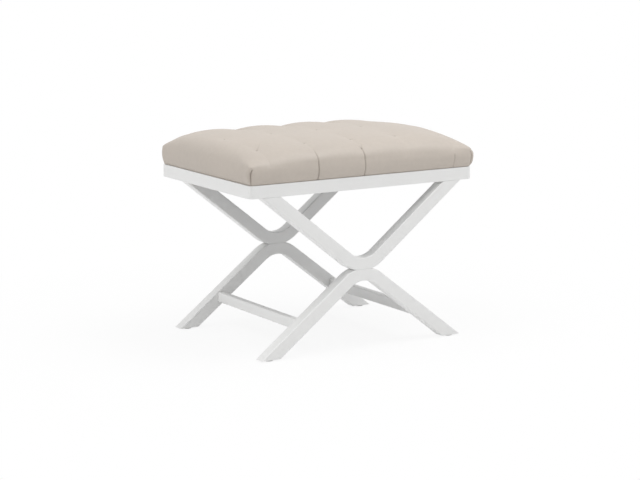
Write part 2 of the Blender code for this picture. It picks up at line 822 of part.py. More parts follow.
def main():
    clear_scene()
    paint = finish("white_paint", (0.80, 0.80, 0.79), 0.35)
    bare = finish("bare_wood", (0.62, 0.45, 0.28), 0.7)
    plywood = finish("plywood", (0.64, 0.49, 0.32), 0.75)
    steel = finish("zinced_steel", (0.60, 0.60, 0.58), 0.35, 1.0)
    nylon = finish("nylon", (0.70, 0.70, 0.68), 0.5)
    leather = finish("greige_leather", (0.52, 0.46, 0.41), 0.5)
    foam = finish("foam", (0.80, 0.76, 0.62), 0.95)
    cloth = finish("black_cloth", (0.03, 0.03, 0.03), 0.95)
    twine = finish("twine", (0.55, 0.48, 0.36), 0.9)
    for back in FRAME_NAMES:
        make_frame(back, paint, bare)
        make_arm_fasteners(back, bare, steel)
        for side in SIDE_NAMES:
            make_glide(back, side, nylon)
    for side in SIDE_NAMES:
        make_stretcher(side, paint)
    make_apron(paint)
    make_corner_blocks(bare, steel)
    make_board(plywood)
    make_foam(foam)
    make_cover(leather)
    make_dust_cover(cloth)
    make_ties(twine)


main()
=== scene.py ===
"""Looks of the tufted bench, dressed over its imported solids.

Sizes are in metres. X runs along the bench, Y towards its back and Z up.
"""

import json
import math

import bpy
import numpy as np
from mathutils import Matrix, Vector


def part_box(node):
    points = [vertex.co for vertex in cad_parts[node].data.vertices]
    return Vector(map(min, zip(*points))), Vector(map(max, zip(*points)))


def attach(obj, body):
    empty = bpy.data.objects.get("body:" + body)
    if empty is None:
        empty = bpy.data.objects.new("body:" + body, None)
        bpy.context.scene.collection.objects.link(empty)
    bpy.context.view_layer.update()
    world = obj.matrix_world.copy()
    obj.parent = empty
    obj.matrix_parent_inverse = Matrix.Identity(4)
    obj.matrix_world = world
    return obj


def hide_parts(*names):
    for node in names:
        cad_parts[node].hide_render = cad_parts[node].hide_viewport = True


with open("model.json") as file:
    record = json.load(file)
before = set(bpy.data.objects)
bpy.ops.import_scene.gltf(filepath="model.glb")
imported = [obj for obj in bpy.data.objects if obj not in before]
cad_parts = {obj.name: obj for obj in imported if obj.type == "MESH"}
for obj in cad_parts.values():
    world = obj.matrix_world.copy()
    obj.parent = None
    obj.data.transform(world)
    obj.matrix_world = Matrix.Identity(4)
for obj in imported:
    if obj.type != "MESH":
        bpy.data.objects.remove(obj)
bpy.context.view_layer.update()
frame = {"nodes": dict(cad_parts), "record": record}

BODY = "root"
SEED = 11

# Cushion's form: a crown over a rim, with sides that swell and tuck in at the fold
RIM_RISE = 0.041  # fold to the rim, where the top starts to turn in
RIM_CORNER = 0.010  # radius of the rim's corners in plan
LEFT_FULLNESS = 8.6  # how squarely the crown falls off towards the left end
RIGHT_FULLNESS = 6.8  # towards the right end
FRONT_FULLNESS = 4.8  # towards the front
BACK_FULLNESS = 6.4  # and towards the back
EDGE_ROUNDNESS = 2.16  # how roundly it meets the rim
CROWN_SINK = 0.0015  # the crown between the tufts, below the solid's highest point
CROWN_LEAN = 0.0015  # the filling sits this much higher towards the right end
RIM_SPARED = 0.5  # share of the crown's rise below which tufts and lumps fade out
# Uneven filling: middle of each lump in plan, its reach, and how far it lifts the crown
LUMPS = (
    (0.30, -0.21, 0.13, -0.0068),
    (0.20, 0.19, 0.050, -0.0036),
    (0.280, 0.16, 0.050, -0.0050),
    (0.29, -0.04, 0.07, 0.0024),
    (0.172, 0.045, 0.045, -0.0035),
    (0.207, 0.100, 0.045, -0.0035),
    (-0.30, 0.21, 0.050, -0.0050),
    (-0.30, -0.21, 0.100, -0.0065),
)
SIDE_SWELL = 0.0016  # how far the solid's sides swell past its rim
FACE_BELLY = 0.0034  # how far front and back swell past the rim
LEFT_BELLY = 0.0035  # the left end
RIGHT_BELLY = 0.0050  # and the right end
SIDE_TUCK = 0.0045  # how far the sides draw in at the fold
SEAM_PINCH = 0.7  # share of the swell that a corner seam takes away
SKIN_STEP = 0.0052  # mesh spacing of the simulated skin
SIDE_RINGS = 8  # rings of faces down the sides
CROWN_SLACK = 0.6  # share of the crown's rise that its curve adds to half the length or depth
CURVE_SAMPLES = 4000  # steps in which a curve's length is measured
LEATHER_ANGLE = math.radians(75)  # folds flatter than this are shaded smooth
TINY = 1e-9  # keeps a division by nothing from failing

# Tufts, and the valleys between the pillows that they gather
TUFT_COLUMNS = 5
TUFT_ROWS = 3
TUFT_DEPTH = 0.0014  # pit of a tuft, below the valley that passes it
TUFT_HOLLOW = 0.009  # radius of the pit
TUFT_GRIP = 0.0045  # radius held by a tuft's tie
VALLEY_DEPTH = 0.0100  # where a tie pulls with a strength of 1
VALLEY_CURVE = 0.58  # below 1, a valley is narrow and the pillows beside it are round
GATHER_REACH = 0.070  # distance from an outer tuft at which its valley fades towards the middle
MIDDLE_REACH = 0.040  # and from a middle tuft
# How hard each tie pulls, from left to right, in the front, middle and back row
TUFT_PULLS = (
    (0.40, 0.38, 0.42, 0.48, 0.22),
    (0.22, 0.18, 0.18, 0.18, 0.22),
    (0.20, 1.00, 1.00, 0.90, 0.66),
)

# Swelling of the cushion, simulated as leather over a filling under pressure
SWELL_PRESSURE = 4.0
SWELL_FRAMES = 20
SWELL_QUALITY = 6
LEATHER_MASS = 0.3
LEATHER_TENSION = 25
LEATHER_SHEAR = 10
LEATHER_BENDING = 1
SWELL_CAP = 0.024  # farthest that a point may move
HELD_SIDE = 0.85  # share of the way down the side below which the skin is stapled
HELD_PLEAT = 0.5  # pleats at least this strong are held as well
PLEAT_GRIP = 0.004  # half the width held along a pleat

# Hem turned in under the seat board
HEM_WIDTH = 0.024
SKIN_THICKNESS = 0.0016
POCKET_GAP = 0.0003

# Creases in the leather
CREASE_WIDTH = 0.0015
CREASE_REACH = 0.0060  # the mesh is refined this far from a crease
PLEAT_DEPTH = 0.0020
PLEAT_ONSET = 0.030  # a pleat starts this far in from the rim
SEAM_DEPTH = 0.0022
SEAM_ZONE = 0.03  # distance from a corner within which its seam is pressed in
SEAM_DROP = 0.002  # a corner seam starts this far below the rim
SEAM_FADE = 0.004  # and deepens over this height
SEAM_EASE = 0.6  # share of its depth that it loses on the way down
SEAM_HOOK = 0.0075  # its top leans this far towards the front or the back
HOOK_RISE = 0.015  # over this height
LEFT_FOLD = 0.0015  # rise of the fold beside the front seam, on the left end
RIGHT_FOLD = 0.0045  # and on the right end
FOLD_EDGE = 0.0035  # seam to the fold's ridge
FOLD_SPAN = (0.006, 0.022)  # behind the ridge the fold runs out
FOLD_LEAN = -0.36  # how far the ridge leans over the seam, as a share of its rise
FOLD_HEIGHTS = (0.02, 0.16, 0.84, 1.0)  # shares of the way down where it rises and runs out
STRAIN_DEPTH = 0.0008  # creases from some tufts towards one in the next row and column
STRAIN_LENGTH = 0.060
STRAINED = ((0, 0, 1, 1), (0, 3, 1, 2), (2, 1, 1, 2), (2, 4, 1, 3))  # row and column of both tufts
PUCKER_DEPTH = 0.0005
PUCKERS = 4  # round each tuft
PUCKER_LENGTHS = (0.010, 0.024)
PUCKER_STRAY = 0.3  # how far each may stray, as a share of the step between two
TOP_SHARE = 0.02  # points less than this share of the way down a side still belong to the top
FACE_ZONE = 0.02  # points this close to the front or back rim can lie on that face
PLEAT_FADE = 0.15  # share of the way down over which a pleat deepens below its start
# Strength of each column's pleat at the rim and on the face below it, and how far down the face it
# starts, from left to right
FRONT_PLEATS_TOP = (0.2, 0.9, 1.0, 0.1, 0.1)
FRONT_PLEATS_FACE = (0.05, 1.0, 0.9, 0.05, 0.6)
FRONT_PLEATS_START = (0.2, 0.0, 0.0, 0.3, 0.1)
BACK_PLEATS_TOP = (0.2, 1.0, 0.9, 1.0, 0.9)
BACK_PLEATS_FACE = (0.1, 0.7, 1.0, 0.8, 0.5)
BACK_PLEATS_START = (0.2, 0.0, 0.0, 0.0, 0.0)
BACK_LEANS = (0.0, -0.010, -0.008, -0.011, -0.004)  # sideways run of the back pleats, middle to rim
FORKED_PLEAT = 2  # the middle column's pleat splits in two at its top
FORK_ENDS = (-0.012, 0.010)
FORK_LENGTH = 0.020

# Photo's camera
CAMERA_PLACE = (-2.53498, -4.11933, 1.10459)
CAMERA_TILT = 90 - 10.27
CAMERA_TURN = -31.718
SENSOR_WIDTH = 36.0
PHOTO_WIDTH = 640
FOCAL_PIXELS = 2014


# Handling of objects and meshes


def deselect_all():
    bpy.ops.object.select_all(action="DESELECT")


def activate(piece):
    deselect_all()
    piece.select_set(True)
    bpy.context.view_layer.objects.active = piece


def name_piece(name):
    """The object just added, under its own name."""
    piece = bpy.context.object
    piece.name = name
    piece.data.name = name
    return piece


def apply_modifier(piece, name, kind, **settings):
    modifier = piece.modifiers.new(name, kind)
    for key, value in settings.items():
        setattr(modifier, key, value)
    activate(piece)
    bpy.ops.object.modifier_apply(modifier=modifier.name)


def points_of(piece):
    points = np.empty(len(piece.data.vertices) * 3)
    piece.data.vertices.foreach_get("co", points)
    return points.reshape(-1, 3)


def normals_of(piece):
    normals = np.empty(len(piece.data.vertices) * 3)
    piece.data.vertex_normals.foreach_get("vector", normals)
    return normals.reshape(-1, 3)


def place_points(piece, points):
    piece.data.vertices.foreach_set("co", points.ravel())
    piece.data.update()


def edit(piece, mode="FACE"):
    """Open a piece in edit mode with nothing selected."""
    activate(piece)
    bpy.ops.object.mode_set(mode="EDIT")
    bpy.ops.mesh.select_mode(type=mode)
    bpy.ops.mesh.select_all(action="DESELECT")


def end_edit():
    bpy.ops.object.mode_set(mode="OBJECT")


def edit_faces(piece, chosen):
    """Open a piece in edit mode with the chosen faces selected."""
    edit(piece)
    end_edit()
    piece.data.polygons.foreach_set("select", chosen)
    bpy.ops.object.mode_set(mode="EDIT")


def least_on_faces(piece, values):
    """Least value that each face has at its corners."""
    mesh = piece.data
    corners = np.empty(len(mesh.loops), dtype=np.int64)
    mesh.loops.foreach_get("vertex_index", corners)
    starts = np.empty(len(mesh.polygons), dtype=np.int64)
    mesh.polygons.foreach_get("loop_start", starts)
    return np.minimum.reduceat(values[corners], starts)


def store(piece, name, values):
    attribute = piece.data.attributes.new(name, "FLOAT", "POINT")
    attribute.data.foreach_set("value", values.astype(np.float32))


def middle(node):
    low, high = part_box(node)
    return (low + high) / 2


# Cushion

cover_low, cover_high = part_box("tufted_cover")
board_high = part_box("seat_board")[1]
HALF_X = cover_high.x - SIDE_SWELL
HALF_Y = cover_high.y - SIDE_SWELL
FOLD_Z = cover_low.z
RIM_Z = FOLD_Z + RIM_RISE
CROWN_RISE = cover_high.z - CROWN_SINK - RIM_Z
HALF_PLAN = np.array([HALF_X, HALF_Y])
CORNER_START = HALF_PLAN - RIM_CORNER
COLUMNS = [middle(f"tuft_tie_1_{k}").x for k in range(1, TUFT_COLUMNS + 1)]
ROWS = [middle(f"tuft_tie_{k}_1").y for k in range(1, TUFT_ROWS + 1)]
TUFTS = [(x, y) for y in ROWS for x in COLUMNS]


def crown_share(share, fullness):
    return np.clip(1 - np.abs(share) ** fullness, 0, 1) ** (1 / EDGE_ROUNDNESS)


def even_stations(half, fullness, count):
    """Places across the cushion that are evenly spaced along its curved top."""
    share = np.linspace(0, 1, CURVE_SAMPLES)
    run = np.hypot(np.diff(share * half), np.diff(CROWN_RISE * crown_share(share, fullness)))
    walked = np.concatenate(([0], np.cumsum(run)))
    steps = np.linspace(-walked[-1], walked[-1], count)
    return np.sign(steps) * np.interp(np.abs(steps), walked, share * half)


def two_stations(half, first, second, count):
    """Even places across a top with one fullness before its middle and one behind it."""
    before = even_stations(half, first, count)
    behind = even_stations(half, second, count)
    return np.where(before < 0, before, behind)


def round_corners(points):
    """Draw the corners of a rectangle's grid in to the rim's rounded corners."""
    beyond = (np.abs(points[:, :2]) - CORNER_START) / RIM_CORNER
    corner = (beyond > 0).all(axis=1)
    u, v = beyond[corner].T
    drawn = np.stack((u * np.sqrt(1 - v * v / 2), v * np.sqrt(1 - u * u / 2)), axis=1)
    points[corner, :2] = np.sign(points[corner, :2]) * (CORNER_START + RIM_CORNER * drawn)


def outward(points):
    """Direction in plan, away from the cushion, of points on its sides."""
    away = points[:, :2] - np.clip(points[:, :2], -CORNER_START, CORNER_START)
    return away / np.maximum(np.linalg.norm(away, axis=1, keepdims=True), TINY)


def down_share(points):
    """How far down the side a point is: 0 at the rim and above, 1 at the fold."""
    return np.clip((RIM_Z - points[:, 2]) / RIM_RISE, 0, 1)


def bell(away, reach):
    return np.exp(-((away / reach) ** 2))


def notch(away):
    """One at a column of tufts, falling off as a round pillow does, to nothing half way to the next."""
    half_step = (COLUMNS[1] - COLUMNS[0]) / 2
    return 1 - np.sin(math.pi / 2 * np.minimum(1, np.abs(away) / half_step)) ** VALLEY_CURVE


def leaning(column, lean, y):
    """Place along the bench of a column's valley and pleat, at a place across it."""
    return column + lean * np.clip(y / HALF_Y, 0, 1)


def drawn_down(points):
    """Depth of the valleys and tufts below the crown."""
    x, y = points[:, 0], points[:, 1]
    depth = np.zeros(len(points))
    for row, pulls in zip(ROWS, TUFT_PULLS):
        if row == ROWS[1]:
            fade = bell(y - row, MIDDLE_REACH)
        else:
            fade = bell(np.minimum(0, (y - row) * np.sign(row)), GATHER_REACH)
        for column, pull, lean in zip(COLUMNS, pulls, BACK_LEANS):
            pit = TUFT_DEPTH * bell(np.hypot(x - column, y - row), TUFT_HOLLOW)
            valley = VALLEY_DEPTH * notch(x - leaning(column, lean, y)) * fade
            depth += pull * (valley + pit)
    return depth


def crown_top(cushion):
    """Spread a grid over the cushion's plan, raise it to the crown and draw the tufts down."""
    points = points_of(cushion)
    columns, along = np.unique(points[:, 0].round(6), return_inverse=True)
    rows, across = np.unique(points[:, 1].round(6), return_inverse=True)
    points[:, 0] = two_stations(HALF_X, LEFT_FULLNESS, RIGHT_FULLNESS, len(columns))[along]
    points[:, 1] = two_stations(HALF_Y, FRONT_FULLNESS, BACK_FULLNESS, len(rows))[across]
    lengthwise = np.where(points[:, 0] < 0, LEFT_FULLNESS, RIGHT_FULLNESS)
    crosswise = np.where(points[:, 1] < 0, FRONT_FULLNESS, BACK_FULLNESS)
    crown = crown_share(points[:, 0] / HALF_X, lengthwise)
    crown = crown * crown_share(points[:, 1] / HALF_Y, crosswise)
    points[:, 2] = RIM_Z + CROWN_RISE * crown
    sunk = drawn_down(points) - CROWN_LEAN * points[:, 0] / HALF_X
    for x, y, reach, lift in LUMPS:
        sunk -= lift * bell(np.hypot(points[:, 0] - x, points[:, 1] - y), reach)
    points[:, 2] -= sunk * np.minimum(1, crown / RIM_SPARED)
    round_corners(points)
    place_points(cushion, points)


def hang_sides(cushion):
    """Extrude the rim down to the fold, with the sides' swell and tuck."""
    edit(cushion, "EDGE")
    bpy.ops.mesh.select_all(action="SELECT")
    bpy.ops.mesh.region_to_loop()
    drop = {"value": (0, 0, -RIM_RISE / SIDE_RINGS)}
    for _ in range(SIDE_RINGS):
        bpy.ops.mesh.extrude_region_move(TRANSFORM_OT_translate=drop)
    bpy.ops.mesh.select_all(action="SELECT")
    bpy.ops.mesh.normals_make_consistent(inside=False)
    end_edit()
    points = points_of(cushion)
    down = down_share(points)
    away = outward(points)
    end_belly = np.where(away[:, 0] < 0, LEFT_BELLY, RIGHT_BELLY)
    belly = FACE_BELLY + (end_belly - FACE_BELLY) * away[:, 0] ** 2
    belly *= 1 - SEAM_PINCH * np.abs(2 * away[:, 0] * away[:, 1])
    bulge = belly * 4 * down * (1 - down) - SIDE_TUCK * down**2
    points[:, :2] += away * (bulge * (down > 0))[:, None]
    place_points(cushion, points)


def pleat_rows():
    """The outer rows of tufts, with the strength of the pleats that run from them to the rim."""
    return (-1, ROWS[0], FRONT_PLEATS_TOP), (1, ROWS[-1], BACK_PLEATS_TOP)


def held_points(cushion):
    """Points that are held: tufts by ties, strong pleats by stitches, the lower sides by staples."""
    points = points_of(cushion)
    down = down_share(points)
    away = np.full(len(points), np.inf)
    for x, y in TUFTS:
        away = np.minimum(away, np.hypot(points[:, 0] - x, points[:, 1] - y))
    for side, row, strengths in pleat_rows():
        beyond = (points[:, 1] - row) * side > 0
        for column, strength, lean in zip(COLUMNS, strengths, BACK_LEANS):
            if strength >= HELD_PLEAT:
                aside = np.abs(points[:, 0] - leaning(column, lean, points[:, 1]))
                pleat = beyond & (aside < PLEAT_GRIP)
                away[pleat] = 0
    return np.flatnonzero((down > HELD_SIDE) | ((down == 0) & (away < TUFT_GRIP)))


def swell(cushion):
    """Let pressure fill the skin out between the places where it is held."""
    before = points_of(cushion)
    group = cushion.vertex_groups.new(name="held")
    group.add(held_points(cushion).tolist(), 1.0, "REPLACE")
    cloth = cushion.modifiers.new("swelling", "CLOTH")
    settings = cloth.settings
    settings.quality = SWELL_QUALITY
    settings.mass = LEATHER_MASS
    settings.tension_stiffness = LEATHER_TENSION
    settings.compression_stiffness = LEATHER_TENSION
    settings.shear_stiffness = LEATHER_SHEAR
    settings.bending_stiffness = LEATHER_BENDING
    settings.vertex_group_mass = group.name
    settings.use_pressure = True
    settings.uniform_pressure_force = SWELL_PRESSURE
    settings.effector_weights.gravity = 0
    cloth.collision_settings.use_collision = False
    scene = bpy.context.scene
    for moment in range(1, SWELL_FRAMES + 1):
        scene.frame_set(moment)
    activate(cushion)
    bpy.ops.object.modifier_apply(modifier=cloth.name)
    scene.frame_set(1)
    cushion.vertex_groups.clear()
    moved = points_of(cushion) - before
    travel = np.linalg.norm(moved, axis=1)
    limit = np.minimum(1, SWELL_CAP / np.maximum(travel, TINY))
    place_points(cushion, before + moved * limit[:, None])


def eased(value, start, end):
    """Nothing before the start, one past the end, and a smooth rise between them."""
    share = np.clip((value - start) / (end - start), 0, 1)
    return share * share * (3 - 2 * share)


def fold_corners(cushion):
    """Raise the fold of leather beside each front corner's seam, on the cushion's ends."""
    points = points_of(cushion)
    down = down_share(points)
    top, full, ebb, foot = FOLD_HEIGHTS
    upright = eased(down, top, full) * (1 - eased(down, ebb, foot))
    inset = HALF_PLAN - np.abs(points[:, :2])
    behind = (inset[:, 1] - inset[:, 0]) / math.sqrt(2)
    ridge = eased(behind, 0, FOLD_EDGE) * (1 - eased(behind, *FOLD_SPAN))
    rise = np.where(points[:, 0] < 0, LEFT_FOLD, RIGHT_FOLD) * ridge * upright * (points[:, 1] < 0)
    points[:, 0] += np.sign(points[:, 0]) * rise
    points[:, 1] += FOLD_LEAN * rise
    place_points(cushion, points)


def line_creases():
    """Creases on the top, each from a start to an end in plan, with its depth at both."""
    lines = []
    for side, _, strengths in pleat_rows():
        onset = side * (HALF_Y - PLEAT_ONSET)
        rim = side * HALF_Y
        for column, strength, lean in zip(COLUMNS, strengths, BACK_LEANS):
            start = (leaning(column, lean, onset), onset)
            end = (leaning(column, lean, rim), rim)
            lines.append((start, end, 0.0, PLEAT_DEPTH * strength))
        fork_y = side * (HALF_Y - PLEAT_ONSET / 2)
        fork_x = leaning(COLUMNS[FORKED_PLEAT], BACK_LEANS[FORKED_PLEAT], fork_y)
        for branch in FORK_ENDS:
            end = (fork_x + branch, fork_y - side * FORK_LENGTH)
            lines.append(((fork_x, fork_y), end, PLEAT_DEPTH / 2, 0.0))
    for row, column, next_row, next_column in STRAINED:
        start = np.array((COLUMNS[column], ROWS[row]))
        way = np.array((COLUMNS[next_column], ROWS[next_row])) - start
        end = start + way * STRAIN_LENGTH / np.linalg.norm(way)
        lines.append((start, end, STRAIN_DEPTH, 0.0))
    chance = np.random.default_rng(SEED)
    for x, y in TUFTS:
        first = chance.uniform(0, 2 * math.pi)
        for k in range(PUCKERS):
            stray = chance.uniform(-PUCKER_STRAY, PUCKER_STRAY)
            angle = first + 2 * math.pi * (k + stray) / PUCKERS
            length = chance.uniform(*PUCKER_LENGTHS)
            end = (x + length * math.cos(angle), y + length * math.sin(angle))
            lines.append(((x, y), end, PUCKER_DEPTH, 0.0))
    return lines


class Creasing:
    """Depth of the creases at a set of points, and the distance to the nearest."""

    def __init__(self, points):
        self.points = points
        self.down = down_share(points)
        self.depth = np.zeros(len(points))
        self.away = np.full(len(points), np.inf)

    def add(self, across, depth, zone):
        self.depth += np.where(zone, depth * bell(across, CREASE_WIDTH), 0)
        self.away = np.where(zone, np.minimum(self.away, np.abs(across)), self.away)

    def add_lines(self):
        plan = self.points[:, :2]
        for start, end, first, last in line_creases():
            run = np.subtract(end, start)
            share = np.clip((plan - start) @ run / (run @ run), 0, 1)
            across = np.linalg.norm(plan - start - share[:, None] * run, axis=1)
            self.add(across, first + (last - first) * share, self.down < TOP_SHARE)

    def add_faces(self):
        """Pleats running down the front and the back."""
        sides = (
            (-1, FRONT_PLEATS_FACE, FRONT_PLEATS_START),
            (1, BACK_PLEATS_FACE, BACK_PLEATS_START),
        )
        for side, strengths, starts in sides:
            facing = (self.points[:, 1] * side > HALF_Y - FACE_ZONE) & (self.down >= TOP_SHARE)
            for column, strength, start, lean in zip(COLUMNS, strengths, starts, BACK_LEANS):
                fade = np.clip((self.down - start) / PLEAT_FADE + (start == 0), 0, 1)
                across = self.points[:, 0] - leaning(column, lean, side * HALF_Y)
                self.add(across, PLEAT_DEPTH * strength * fade, facing)

    def add_corners(self):
        """Seams up the four corners, with their tops hooked over below the rim."""
        for x in (-1, 1):
            for y in (-1, 1):
                offset = self.points[:, :2] - HALF_PLAN * (x, y)
                across = (offset[:, 0] * x * y - offset[:, 1]) / math.sqrt(2)
                near = np.linalg.norm(offset, axis=1) < SEAM_ZONE
                below = RIM_Z - SEAM_DROP - self.points[:, 2]
                fade = np.clip(below / SEAM_FADE, 0, 1)
                hook = SEAM_HOOK * np.clip(1 - below / HOOK_RISE, 0, 1) ** 2
                across += hook * y / math.sqrt(2)
                fade *= 1 - SEAM_EASE * self.down**2
                self.add(across, SEAM_DEPTH * fade, near & (fade > 0))


def creasing_of(cushion):
    creasing = Creasing(points_of(cushion))
    creasing.add_lines()
    creasing.add_faces()
    creasing.add_corners()
    return creasing


def crease_leather(cushion):
    """Refine the mesh along the creases and press them in; gives their depth at each point."""
    plain = creasing_of(cushion)
    chosen = least_on_faces(cushion, plain.away) < CREASE_REACH
    edit_faces(cushion, chosen)
    bpy.ops.mesh.subdivide(number_cuts=1, smoothness=0)
    bpy.ops.mesh.vertices_smooth(factor=0.5, repeat=2)
    end_edit()
    fine = creasing_of(cushion)
    place_points(cushion, fine.points - normals_of(cushion) * fine.depth[:, None])
    return fine.depth


def turn_in_hem(cushion):
    """Fold the skin in under the seat board and close the pocket that the board fills."""
    edit(cushion, "EDGE")
    bpy.ops.mesh.select_all(action="SELECT")
    bpy.ops.mesh.region_to_loop()
    fold = HALF_PLAN - SIDE_TUCK
    hem = fold - HEM_WIDTH
    board = np.array([board_high.x, board_high.y]) + POCKET_GAP
    lift = board_high.z + POCKET_GAP - FOLD_Z - SKIN_THICKNESS
    steps = (
        (hem / fold, 0),
        (np.ones(2), SKIN_THICKNESS),
        (board / hem, 0),
        (np.ones(2), lift),
    )
    for scale, rise in steps:
        bpy.ops.mesh.extrude_region_move(TRANSFORM_OT_translate={"value": (0, 0, rise)})
        bpy.ops.transform.resize(value=(scale[0], scale[1], 1), center_override=(0, 0, 0))
    bpy.ops.mesh.edge_face_add()
    bpy.ops.mesh.select_all(action="SELECT")
    bpy.ops.mesh.normals_make_consistent(inside=False)
    end_edit()


def make_cushion(leather):
    deselect_all()
    bpy.ops.mesh.primitive_grid_add(
        x_subdivisions=round(2 * (HALF_X + CROWN_RISE * CROWN_SLACK) / SKIN_STEP),
        y_subdivisions=round(2 * (HALF_Y + CROWN_RISE * CROWN_SLACK) / SKIN_STEP),
        size=2,
    )
    cushion = name_piece("cushion")
    crown_top(cushion)
    hang_sides(cushion)
    swell(cushion)
    fold_corners(cushion)
    apply_modifier(cushion, "smoothing", "SUBSURF", levels=1, render_levels=1)
    crease_depth = crease_leather(cushion)
    # the creases' depth, kept for the leather's painted shade
    store(cushion, "crease", crease_depth / SEAM_DEPTH)
    turn_in_hem(cushion)
    activate(cushion)
    bpy.ops.object.shade_smooth_by_angle(angle=LEATHER_ANGLE)
    cushion.data.materials.append(leather)
    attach(cushion, BODY)
    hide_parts("tufted_cover", "seat_foam")


# Dust cloth under the seat

CLOTH_STEP = 0.004
CLOTH_THICKNESS = 0.0005
CLOTH_SAG = 0.0035
CLOTH_RIPPLE = 0.0005
RIPPLE_LENGTH = 0.045
CROSS_TURN = 3  # turn of the crosswise ripples over that length, in radians
LONG_SWAY = (3, 9)  # how far the lengthwise ripples sway, in radians, and how fast across the cloth
CROSS_SWAY = (2, 7)
SCREW_HOLE = 0.0034  # radius of the holes left round the seat screws
CLOTH_ANGLE = math.radians(40)


def ripples(x, y):
    """Two crossed sets of ripples, each swaying along its run."""
    lengthwise = np.sin(x / RIPPLE_LENGTH * 2 * math.pi + LONG_SWAY[0] * np.sin(y * LONG_SWAY[1]))
    crosswise = np.cos(y / RIPPLE_LENGTH * CROSS_TURN + CROSS_SWAY[0] * np.sin(x * CROSS_SWAY[1]))
    return lengthwise * crosswise


def make_dust_cloth(cloth):
    low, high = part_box("dust_cover")
    width, length = high.x - low.x, high.y - low.y
    deselect_all()
    bpy.ops.mesh.primitive_grid_add(
        x_subdivisions=round(width / CLOTH_STEP),
        y_subdivisions=round(length / CLOTH_STEP),
        size=2,
    )
    sheet = name_piece("dust_cloth")
    points = points_of(sheet)
    across, along = points[:, 0].copy(), points[:, 1].copy()
    free = (1 - across**2) * (1 - along**2)
    points[:, 0] = across * width / 2
    points[:, 1] = along * length / 2
    ripple = CLOTH_RIPPLE * (ripples(points[:, 0], points[:, 1]) - 1) * np.sqrt(free)
    points[:, 2] = high.z - CLOTH_THICKNESS - CLOTH_SAG * free + ripple
    place_points(sheet, points)
    screws = [middle(name) for name in sorted(frame["nodes"]) if name.startswith("seat_screw")]
    away = np.full(len(points), np.inf)
    for screw in screws:
        away = np.minimum(away, np.hypot(points[:, 0] - screw.x, points[:, 1] - screw.y))
    edit_faces(sheet, least_on_faces(sheet, away) < SCREW_HOLE)
    bpy.ops.mesh.delete(type="FACE")
    end_edit()
    apply_modifier(sheet, "thickness", "SOLIDIFY", thickness=CLOTH_THICKNESS, offset=0)
    bpy.ops.object.shade_smooth_by_angle(angle=CLOTH_ANGLE)
    sheet.data.materials.append(cloth)
    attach(sheet, BODY)
    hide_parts("dust_cover")


# Painted wood

MERGE_DISTANCE = 0.00001
FLAT_ANGLE = math.radians(0.4)
SOFT_ANGLE = math.radians(35)
MITRE_FILL = 0.00013  # paint in a mitre joint, on each of its two faces
MITRE_SLOPE = 0.6  # a face whose normal leans this much both ways is a mitre or part of a corner


def fill_mitres(rail):
    """Let the paint close the joint at each mitred end of a rail."""
    points = points_of(rail)
    for face in rail.data.polygons:
        slanted = min(abs(face.normal.x), abs(face.normal.y)) > MITRE_SLOPE
        outward_x = face.normal.x * face.center.x > 0
        outward_y = face.normal.y * face.center.y > 0
        if slanted and outward_x != outward_y:
            points[list(face.vertices)] += np.array(face.normal) * MITRE_FILL
    place_points(rail, points)


def paint_over(node, finish):
    """A piece of the frame with its facets smoothed and its finish on."""
    made = bpy.data.objects.new("painted_" + node, frame["nodes"][node].data.copy())
    bpy.context.scene.collection.objects.link(made)
    made.data.materials.clear()
    made.data.materials.append(finish)
    edit(made)
    bpy.ops.mesh.select_all(action="SELECT")
    bpy.ops.mesh.remove_doubles(threshold=MERGE_DISTANCE)
    bpy.ops.mesh.dissolve_limited(angle_limit=FLAT_ANGLE)
    end_edit()
    if node.endswith("rail"):
        fill_mitres(made)
    bpy.ops.object.shade_smooth_by_angle(angle=SOFT_ANGLE)
    apply_modifier(made, "even_shading", "WEIGHTED_NORMAL", keep_sharp=True)
    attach(made, BODY)
    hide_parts(node)


# Finishes


